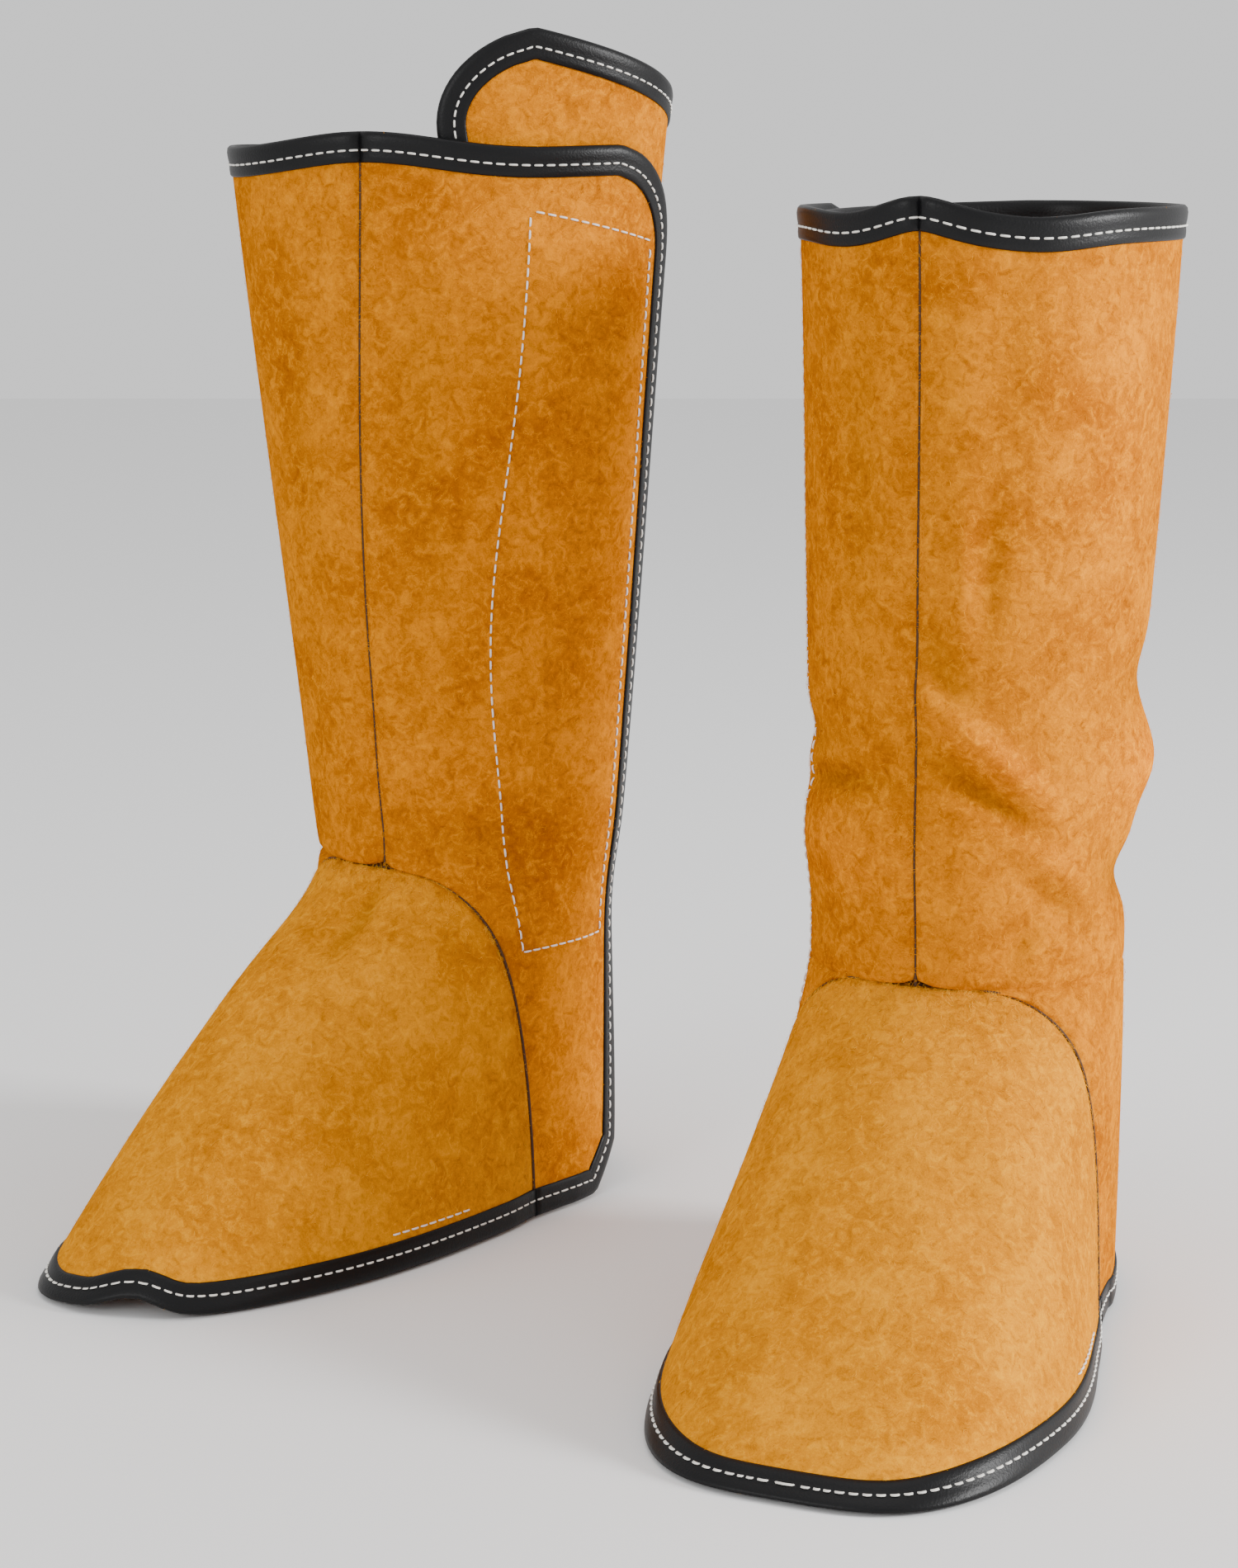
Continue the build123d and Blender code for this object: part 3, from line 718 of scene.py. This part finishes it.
class Materials:
    """Every material of the model."""

    def __init__(self) -> None:
        """Make each finish once, for both spats."""
        self.quarter = self.suede("quarter suede", QUARTER_HIDE, 1.0)
        self.instep = self.suede("instep suede", INSTEP_HIDE, 0.75)
        self.quarter_nap = self.nap("quarter fibres", (0.95, 0.40, 0.004), (0.50, 0.14, 0.0))
        self.instep_nap = self.nap("instep fibres", (0.95, 0.48, 0.03), (0.56, 0.20, 0.001))
        self.binding = self.tape("binding tape", (0.0025, 0.0025, 0.003), 0.42, 1400.0)
        self.hook = self.tape("hook tape", (0.018, 0.018, 0.018), 0.5, 700.0)
        self.loop = self.tape("loop tape", (0.30, 0.31, 0.32), 0.9, 900.0)
        self.elastic = self.tape("elastic", (0.014, 0.014, 0.015), 0.7, 1000.0)
        self.thread = self.plain("white thread", (0.80, 0.78, 0.72), 0.5)
        self.welt = self.plain("seam thread", (0.060, 0.024, 0.006), 0.8)
        self.floor = self.plain("floor", (0.86, 0.86, 0.86), 0.9)

    @staticmethod
    def plain(name: str, colour: Colour, roughness: float) -> bpy.types.Material:
        """Even material."""
        material = bpy.data.materials.new(name)
        material.use_nodes = True
        shader = material.node_tree.nodes["Principled BSDF"]
        shader.inputs["Base Color"].default_value = (*colour, 1.0)
        shader.inputs["Roughness"].default_value = roughness
        material.diffuse_color = (*colour, 1.0)
        return material

    @staticmethod
    def nap(name: str, pale: Colour, dark: Colour) -> bpy.types.Material:
        """Loose fibres: colour differs from place to place."""
        material = Materials.plain(name, pale, 0.9)
        nodes, links = material.node_tree.nodes, material.node_tree.links
        shader = nodes["Principled BSDF"]
        shader.inputs["Specular IOR Level"].default_value = 0.05

        place = nodes.new("ShaderNodeTexCoord")
        place.location = (-800, 0)
        spread = nodes.new("ShaderNodeTexNoise")
        spread.label = "which fibres are pale"
        spread.location = (-600, 0)
        spread.inputs["Scale"].default_value = 260.0
        spread.inputs["Detail"].default_value = 2.0
        ramp = nodes.new("ShaderNodeValToRGB")
        ramp.location = (-350, 0)
        ramp.color_ramp.elements[0].position = 0.38
        ramp.color_ramp.elements[0].color = (*dark, 1.0)
        ramp.color_ramp.elements[1].position = 0.62
        ramp.color_ramp.elements[1].color = (*pale, 1.0)
        links.new(place.outputs["Object"], spread.inputs["Vector"])
        links.new(spread.outputs["Fac"], ramp.inputs["Fac"])
        links.new(ramp.outputs["Color"], shader.inputs["Base Color"])
        return material

    @staticmethod
    def suede(name: str, hide: Hide, coarseness: float) -> bpy.types.Material:
        """Napped split leather: clouded colour, matted fibres, and painted highlight on fold ridges with
        painted shade in fold valleys.

        Args:
            name: name of the material.
            hide: its colours.
            coarseness: strength of the fibre relief.
        """
        material = Materials.plain(name, hide.body, 0.95)
        nodes, links = material.node_tree.nodes, material.node_tree.links
        shader = nodes["Principled BSDF"]
        shader.location = (900, 0)
        shader.inputs["Specular IOR Level"].default_value = 0.0

        place = nodes.new("ShaderNodeTexCoord")
        place.location = (-1300, 0)

        cloud_frame = nodes.new("NodeFrame")
        cloud_frame.label = "clouds of colour over the hide"
        cloud = nodes.new("ShaderNodeTexNoise")
        cloud.label = "clouds"
        cloud.parent = cloud_frame
        cloud.location = (-1000, 400)
        cloud.inputs["Scale"].default_value = 34.0
        cloud.inputs["Detail"].default_value = 5.0
        cloud.inputs["Roughness"].default_value = 0.62
        cloud.inputs["Distortion"].default_value = 0.15
        cloud_ramp = nodes.new("ShaderNodeValToRGB")
        cloud_ramp.parent = cloud_frame
        cloud_ramp.location = (-750, 400)
        cloud_ramp.color_ramp.elements[0].position = 0.30
        cloud_ramp.color_ramp.elements[0].color = hide.darker(0.38)
        cloud_ramp.color_ramp.elements[1].position = 0.70
        cloud_ramp.color_ramp.elements[1].color = hide.paler(0.42)

        fibre_frame = nodes.new("NodeFrame")
        fibre_frame.label = "matted fibres"
        fibre = nodes.new("ShaderNodeTexNoise")
        fibre.label = "fibres"
        fibre.parent = fibre_frame
        fibre.location = (-1000, 0)
        fibre.inputs["Scale"].default_value = 620.0
        fibre.inputs["Detail"].default_value = 6.0
        fibre.inputs["Roughness"].default_value = 0.72
        fibre.inputs["Distortion"].default_value = 2.2
        tuft = nodes.new("ShaderNodeTexNoise")
        tuft.label = "tufts"
        tuft.parent = fibre_frame
        tuft.location = (-1000, -300)
        tuft.inputs["Scale"].default_value = 230.0
        tuft.inputs["Detail"].default_value = 3.0
        tuft.inputs["Distortion"].default_value = 1.2
        relief = nodes.new("ShaderNodeMath")
        relief.operation = "ADD"
        relief.parent = fibre_frame
        relief.location = (-750, -100)
        links.new(fibre.outputs["Fac"], relief.inputs[0])
        links.new(tuft.outputs["Fac"], relief.inputs[1])

        root_share = nodes.new("ShaderNodeMapRange")
        root_share.label = "dark roots show between fibres"
        root_share.location = (-450, 0)
        root_share.inputs["From Min"].default_value = 0.72
        root_share.inputs["From Max"].default_value = 1.0
        root_share.inputs["To Min"].default_value = 0.55
        root_share.inputs["To Max"].default_value = 0.0
        with_roots = nodes.new("ShaderNodeMix")
        with_roots.data_type = "RGBA"
        with_roots.location = (-200, 200)
        with_roots.inputs[7].default_value = (*hide.root, 1.0)
        tip_share = nodes.new("ShaderNodeMapRange")
        tip_share.label = "pale tips stand out"
        tip_share.location = (-450, -300)
        tip_share.inputs["From Min"].default_value = 1.02
        tip_share.inputs["From Max"].default_value = 1.25
        tip_share.inputs["To Min"].default_value = 0.0
        tip_share.inputs["To Max"].default_value = 0.6
        with_tips = nodes.new("ShaderNodeMix")
        with_tips.data_type = "RGBA"
        with_tips.location = (50, 100)
        with_tips.inputs[7].default_value = (*hide.tip, 1.0)
        bump = nodes.new("ShaderNodeBump")
        bump.location = (600, -300)
        bump.inputs["Strength"].default_value = 0.55 * coarseness
        bump.inputs["Distance"].default_value = 0.0011

        links.new(place.outputs["Object"], cloud.inputs["Vector"])
        links.new(place.outputs["Object"], fibre.inputs["Vector"])
        links.new(place.outputs["Object"], tuft.inputs["Vector"])
        links.new(cloud.outputs["Fac"], cloud_ramp.inputs["Fac"])
        links.new(relief.outputs["Value"], root_share.inputs["Value"])
        links.new(relief.outputs["Value"], tip_share.inputs["Value"])
        links.new(root_share.outputs["Result"], with_roots.inputs[0])
        links.new(cloud_ramp.outputs["Color"], with_roots.inputs[6])
        links.new(tip_share.outputs["Result"], with_tips.inputs[0])
        links.new(with_roots.outputs[2], with_tips.inputs[6])
        # Painted light and shade: the base colour is lightened on fold ridges and darkened in fold valleys,
        # by about 7.5 per cent per millimetre of fold height.
        fold = nodes.new("ShaderNodeAttribute")
        fold.label = "height of the folds, in millimetres"
        fold.attribute_name = "fold"
        fold.location = (50, -200)
        painted_fold_share = nodes.new("ShaderNodeMath")
        painted_fold_share.label = "painted highlight on ridges, painted shade in valleys"
        painted_fold_share.operation = "MULTIPLY_ADD"
        painted_fold_share.location = (250, -200)
        painted_fold_share.inputs[1].default_value = 0.075
        painted_fold_share.inputs[2].default_value = 1.0
        painted_fold_shading = nodes.new("ShaderNodeHueSaturation")
        painted_fold_shading.location = (500, 100)
        links.new(fold.outputs["Fac"], painted_fold_share.inputs[0])
        links.new(painted_fold_share.outputs["Value"], painted_fold_shading.inputs["Value"])
        links.new(with_tips.outputs[2], painted_fold_shading.inputs["Color"])
        links.new(painted_fold_shading.outputs["Color"], shader.inputs["Base Color"])
        links.new(relief.outputs["Value"], bump.inputs["Height"])
        links.new(bump.outputs["Normal"], shader.inputs["Normal"])
        return material

    @staticmethod
    def tape(name: str, colour: Colour, roughness: float, fineness: float) -> bpy.types.Material:
        """Woven tape: an even colour with a fine grain."""
        material = Materials.plain(name, colour, roughness)
        nodes, links = material.node_tree.nodes, material.node_tree.links
        shader = nodes["Principled BSDF"]
        shader.inputs["Specular IOR Level"].default_value = 0.22
        place = nodes.new("ShaderNodeTexCoord")
        place.location = (-800, -200)
        grain = nodes.new("ShaderNodeTexNoise")
        grain.label = "weave"
        grain.location = (-600, -200)
        grain.inputs["Scale"].default_value = fineness
        grain.inputs["Detail"].default_value = 2.0
        bump = nodes.new("ShaderNodeBump")
        bump.location = (-300, -200)
        bump.inputs["Strength"].default_value = 0.35
        bump.inputs["Distance"].default_value = 0.0003
        links.new(place.outputs["Object"], grain.inputs["Vector"])
        links.new(grain.outputs["Fac"], bump.inputs["Height"])
        links.new(bump.outputs["Normal"], shader.inputs["Normal"])
        return material


@dataclass(frozen=True)
class Bend:
    """Where a panel leaves the leg's body and follows a moving one, as points of the spat's frame."""

    body: str
    start: tuple[float, float]
    end: tuple[float, float]


FLAP_BEND = Bend("flap_panel", (19.0, 62.0), (5.0, 62.0))
UNDERLAP_BEND = Bend("underlap_panel", (-43.0, -15.0), (-47.7, -1.9))


class SpatBuilder:
    """Builds one spat's visible pieces and hands those that ride on the leg to the leg's body."""

    def __init__(self, form: Form, materials: Materials, seed: int) -> None:
        """Keep the form and finishes of one spat, and start its fibres at a seed."""
        self.form = form
        self.materials = materials
        self.side = form.side.value
        self.nap = Nap(seed)

    def name(self, piece: str) -> str:
        """Name of a piece of this spat."""
        return f"{self.side}_{piece}"

    def dress(self, piece: bpy.types.Object, material: bpy.types.Material) -> None:
        """Give a piece its material."""
        piece.data.materials.clear()
        piece.data.materials.append(material)
        LOG.info("%s: %d faces", piece.name, len(piece.data.polygons))

    def carry(self, piece: bpy.types.Object, bend: Bend | None) -> None:
        """Let a piece ride on the leg; a piece that crosses a bend only has its transform baked into its
        mesh.
        """
        leg = f"{self.side}_leg"
        if bend is None:
            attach(piece, leg)
            return
        start, end = (self.form.place(np.array([*point, self.form.top_z / 2.0]))
                      for point in (bend.start, bend.end))
        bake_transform(piece)

    def panel(self, piece_name: str, layout: Layout, bend: Bend | None,
              border: str, stands_for: tuple[str, ...], bindings: tuple[str, ...],
              pale: bool, fibres: int) -> None:
        """One leather panel with its binding, stitches and loose fibres.

        Args:
            piece_name: name of the leather piece.
            layout: its lay-out.
            bend: the bend it crosses, if any.
            border: parts of its border that are bound.
            stands_for: CAD nodes of the leather.
            bindings: CAD nodes of the binding.
            pale: True for the instep's paler hide.
            fibres: number of loose fibres.
        """
        hide, nap = ((self.materials.instep, self.materials.instep_nap) if pale
                     else (self.materials.quarter, self.materials.quarter_nap))
        leather = sheet_piece(self.name(piece_name), layout, GOODS.leather)
        self.dress(leather, hide)
        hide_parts(*(self.name(node) for node in stands_for))

        flip = layout.runs_forward == (self.form.side is Side.RIGHT)
        tape = binding_piece(self.name(f"{piece_name}_binding_tape"),
                             EdgeLine.along(layout, border, EDGE_STEP), flip)
        turn_outwards(tape)
        self.dress(tape, self.materials.binding)
        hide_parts(*(self.name(node) for node in bindings))

        sewing = EdgeLine.along(layout, border, GOODS.stitch_pitch)
        companions = [tape]
        for outside in (True, False):
            face = "outside" if outside else "inside"
            threads = stitch_run(self.name(f"{piece_name}_stitches_{face}"), sewing, outside)
            self.dress(threads, self.materials.thread)
            companions.append(threads)

        hairs = self.nap.grow(self.name(f"{piece_name}_fibres"), layout, fibres, 0.12)
        self.dress(hairs, nap)
        companions.append(hairs)
        for piece in (leather, *companions):
            self.carry(piece, bend)

    def outer_panel(self) -> None:
        """Outer side of the leg in one piece, with the flap that it bends into."""
        form = self.form
        self.panel("outer_panel", outer_layout(form), FLAP_BEND, "teb",
                   ("outer_quarter", "flap"), ("flap_binding",), False, 5200)

    def inner_panel(self) -> None:
        """Inner side of the leg in one piece, with the underlap that it bends into."""
        form = self.form
        self.panel("inner_panel", inner_layout(form), UNDERLAP_BEND,
                   "teb", ("inner_quarter", "underlap"), ("top_binding", "underlap_binding"), False, 7000)

    def instep_panel(self) -> None:
        """Shield over the boot's laces and toe."""
        self.panel("instep_panel", instep_layout(self.form), None, "f",
                   ("instep_cover",), ("hem_binding",), True, 4500)

    def seams(self) -> None:
        """Closed seams: the arched one over the instep and the straight one up the shin."""
        form = self.form
        swing = np.radians(np.linspace(1.0, 86.0, 60))
        z = form.apex_z * np.sin(swing)
        arch_x = form.seam_apex_x - (form.seam_apex_x - form.seam_hem_x) * np.cos(swing)
        side = form.turn_at_x(arch_x, z)
        arch = welt_piece(self.name("instep_seam"), form, np.concatenate([side, -side[::-1]]),
                          np.concatenate([z, z[::-1]]))
        shin_z = np.linspace(form.apex_z, form.top_z - 2.0, 90)
        shin = welt_piece(self.name("shin_seam"), form, form.shin_turn(shin_z), shin_z)
        for seam in (arch, shin):
            self.dress(seam, self.materials.welt)
            self.carry(seam, None)

    def tape_stitches(self) -> None:
        """Stitches that hold the hook tape, on the flap's face."""
        form = self.form
        low, high = OUTLINE_LOW_Z, form.top_z - OUTLINE_TOP_GAP
        z = np.linspace(low, high, 90)
        rear = mix(form.flap_edge_hem_x, form.flap_edge_top_x, z / form.top_z) + OUTLINE_INSET_X
        front = 22.0 + 9.0 * hump(z, 215.0, 80.0)
        share = np.linspace(0.0, 1.0, 40)
        level = np.ones(40)
        paths = {"rear": (rear, z), "front": (front, z), "low": (mix(rear[0], front[0], share), low * level),
                 "high": (mix(rear[-1], front[-1], share), mix(high - OUTLINE_FALL, high, share))}
        for name, (x, heights) in paths.items():
            if name == "rear":
                heights = mix(low, high - OUTLINE_FALL, (z - low) / (high - low))
            threads = sewn_path(self.name(f"hook_tape_stitches_{name}"), form,
                                form.turn_at_x(x, heights), heights, -0.02)
            self.dress(threads, self.materials.thread)
            self.carry(threads, FLAP_BEND)

    def strap_stitches(self) -> None:
        """Stitches that hold the ends of the strap, above the hem on both sides."""
        form = self.form
        x = np.linspace(*STRAP_X, 40)
        z = np.full(40, STRAP_SEWN_Z)
        outer = form.turn_at_x(x, z)
        for name, turn in (("outer", outer), ("inner", -outer)):
            threads = sewn_path(self.name(f"strap_stitches_{name}"), form, turn, z, -0.02)
            self.dress(threads, self.materials.thread)
            self.carry(threads, None)

    def tapes(self) -> None:
        """Hook tape inside the flap and loop tape on the underlap that it presses against."""
        form = self.form
        z = np.linspace(TAPE_LOW_Z, form.top_z - TAPE_TOP_GAP, TAPE_ROWS)
        flap_edge = mix(form.flap_edge_hem_x, form.flap_edge_top_x, z / form.top_z) + HOOK_INSET_X
        loop_rear = np.full(TAPE_ROWS, LOOP_REAR_X)
        inside_flap = GOODS.leather + GOODS.glue
        for piece, rear, sunk, material, slot, bend in (
                ("hook_tape", flap_edge, inside_flap, self.materials.hook, Slot.HOOK, FLAP_BEND),
                ("loop_tape", loop_rear, None, self.materials.loop, Slot.LOOP, UNDERLAP_BEND)):
            x = rear[:, None] + np.linspace(0.0, TAPE_SPAN_X, 12)[None, :]
            height = np.broadcast_to(z[:, None], x.shape)
            turn = form.turn_at_x(x, height)[:, ::-1]
            on_underlap = form.lap(turn - 2.0 * math.pi) - GOODS.glue - GOODS.tape
            depth = np.full(x.shape, sunk) if sunk else on_underlap
            tape = sheet_piece(self.name(f"{piece}_strip"), Layout(form, turn, height, depth), GOODS.tape)
            self.dress(tape, material)
            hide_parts(self.name(piece))
            self.carry(tape, bend)

    def strap(self) -> None:
        """The elastic strap keeps its CAD shape."""
        self.dress(frame["nodes"][self.name("sole_strap")], self.materials.elastic)

    def build(self) -> None:
        """Build every visible piece of the spat."""
        self.outer_panel()
        self.inner_panel()
        self.instep_panel()
        self.seams()
        self.tape_stitches()
        self.strap_stitches()
        self.tapes()
        self.strap()


LEFT_FORM = Form(
    side=Side.LEFT, top_z=384.0, apex_z=129.0, top_half=(80.0, 58.0), ankle_half=(54.0, 49.0),
    section_turn=132.0, seam_turn=11.0, toe_reach=195.0, ball_half=(62.0, 55.0),
    underlap_lift=(7.0, 24.0, 39.0), underlap_top_x=50.0, toe_out=42.0, hem_wave=6.0, lean=(2.0, -2.2),
    top_waves=((22.0, 4.5, 24.0), (60.0, -1.0, 20.0), (-30.0, -1.0, 20.0)), seam_sway=10.0,
    toe_swing=0.0,
    creases=(Crease(12.0, 112.0, -3.4, 3.6, 9.0), Crease(40.0, 166.0, 0.9, 40.0, 15.0),
             Crease(44.0, 141.0, -1.2, 36.0, 8.0), Crease(70.0, 250.0, 0.8, 30.0, 60.0),
             Crease(34.0, 290.0, -1.2, 8.0, 70.0), Crease(-10.0, 280.0, -1.0, 10.0, 60.0),
             Crease(0.0, 92.0, 1.2, 30.0, 10.0), Crease(-30.0, 60.0, 0.8, 20.0, 25.0)))
RIGHT_FORM = Form(
    side=Side.RIGHT, top_z=365.0, apex_z=119.0, top_half=(74.0, 60.0), ankle_half=(53.0, 51.0),
    section_turn=0.0, seam_turn=0.0, toe_reach=195.0, ball_half=(67.0, 74.0), toe_bluntness=3.3,
    underlap_lift=(0.3, 4.0, -2.5), toe_out=24.0, hem_wave=0.0, lean=(-1.4, -3.2),
    top_waves=((0.0, 4.0, 13.0), (28.0, -1.5, 14.0), (-36.0, -2.5, 18.0)), seam_sway=0.0,
    toe_swing=-0.06, instep_fullness=-0.08,
    creases=(Crease(38.0, 183.0, -4.2, 26.0, 4.2, -0.12), Crease(38.0, 161.0, 3.0, 34.0, 14.0),
             Crease(-106.0, 186.0, 5.6, 34.0, 14.0), Crease(-108.0, 148.0, -4.8, 34.0, 9.0, 0.12),
             Crease(-108.0, 214.0, -2.6, 34.0, 11.0), Crease(64.0, 196.0, -2.6, 26.0, 8.0),
             Crease(-25.0, 197.0, 5.2, 20.0, 6.5, 0.75), Crease(-28.0, 180.0, -4.8, 20.0, 5.5, 0.7),
             Crease(-46.0, 164.0, 3.4, 16.0, 6.5, 0.6), Crease(-52.0, 148.0, -2.8, 14.0, 5.5, 0.6),
             Crease(-9.0, 224.0, -2.6, 7.0, 12.0, 1.2), Crease(-23.0, 254.0, -2.4, 3.6, 22.0),
             Crease(-16.0, 252.0, 1.4, 3.6, 20.0), Crease(-38.0, 132.0, -2.6, 6.0, 6.0, -0.6),
             Crease(-60.0, 300.0, 1.6, 20.0, 50.0), Crease(22.0, 290.0, -1.6, 9.0, 60.0),
             Crease(-28.0, 320.0, -1.2, 8.0, 45.0), Crease(-30.0, 72.0, -1.6, 14.0, 9.0, 0.9)))


class Studio:
    """Camera, floor and lights."""

    def __init__(self, materials: Materials) -> None:
        """Keep the finishes that the floor is made of."""
        self.materials = materials

    def area_light(self, name: str, place: tuple[float, float, float], aim: tuple[float, float, float],
                   size: float, power: float) -> None:
        """Soft lamp aimed at a point.

        Args:
            name: name of the lamp.
            place: where it stands, in metres.
            aim: the point it shines at.
            size: side of its square panel.
            power: watts.
        """
        lamp = bpy.data.lights.new(name, "AREA")
        lamp.size, lamp.energy = size, power
        holder = bpy.data.objects.new(name, lamp)
        holder.location = place
        direction = Vector(aim) - Vector(place)
        holder.rotation_euler = direction.to_track_quat("-Z", "Y").to_euler()
        bpy.context.scene.collection.objects.link(holder)

    def build(self) -> None:
        """Set up the camera and a plain pale surround."""
        half = 4.0
        corners = np.array([(-half, -half, 0.0), (half, -half, 0.0), (half, half, 0.0), (-half, half, 0.0)])
        floor = mesh_from("floor", corners - np.array([0.0, 0.0, 0.0005]), [(0, 1, 2, 3)], False)
        floor.data.materials.append(self.materials.floor)

        lens = bpy.data.cameras.new("camera")
        lens.lens, lens.sensor_width, lens.clip_end = 75.8, 36.0, 30.0
        camera = bpy.data.objects.new("camera", lens)
        camera.location = (0.0103, -1.0753, 0.385)
        camera.rotation_euler = (math.radians(79.0), 0.0, 0.0)
        bpy.context.scene.collection.objects.link(camera)
        bpy.context.scene.camera = camera

        world = bpy.data.worlds.new("pale surround")
        world.use_nodes = True
        world.node_tree.nodes["Background"].inputs["Color"].default_value = (1.0, 1.0, 1.0, 1.0)
        world.node_tree.nodes["Background"].inputs["Strength"].default_value = 0.95
        bpy.context.scene.world = world

        self.area_light("key from the right", (2.0, -0.45, 0.8), (0.13, 0.0, 0.18), 0.5, 62.0)
        self.area_light("fill from the left", (-1.3, -1.6, 0.9), (-0.15, 0.0, 0.2), 0.8, 13.0)
        self.area_light("top", (0.0, -0.2, 2.2), (0.0, 0.0, 0.2), 1.2, 6.0)


def main() -> None:
    """Build both spats and the studio."""
    logging.basicConfig(level=logging.INFO, format="%(message)s")
    materials = Materials()
    for form, seed in ((LEFT_FORM, 11), (RIGHT_FORM, 29)):
        SpatBuilder(form, materials, seed).build()
    Studio(materials).build()


if __name__ == "__main__":
    main()
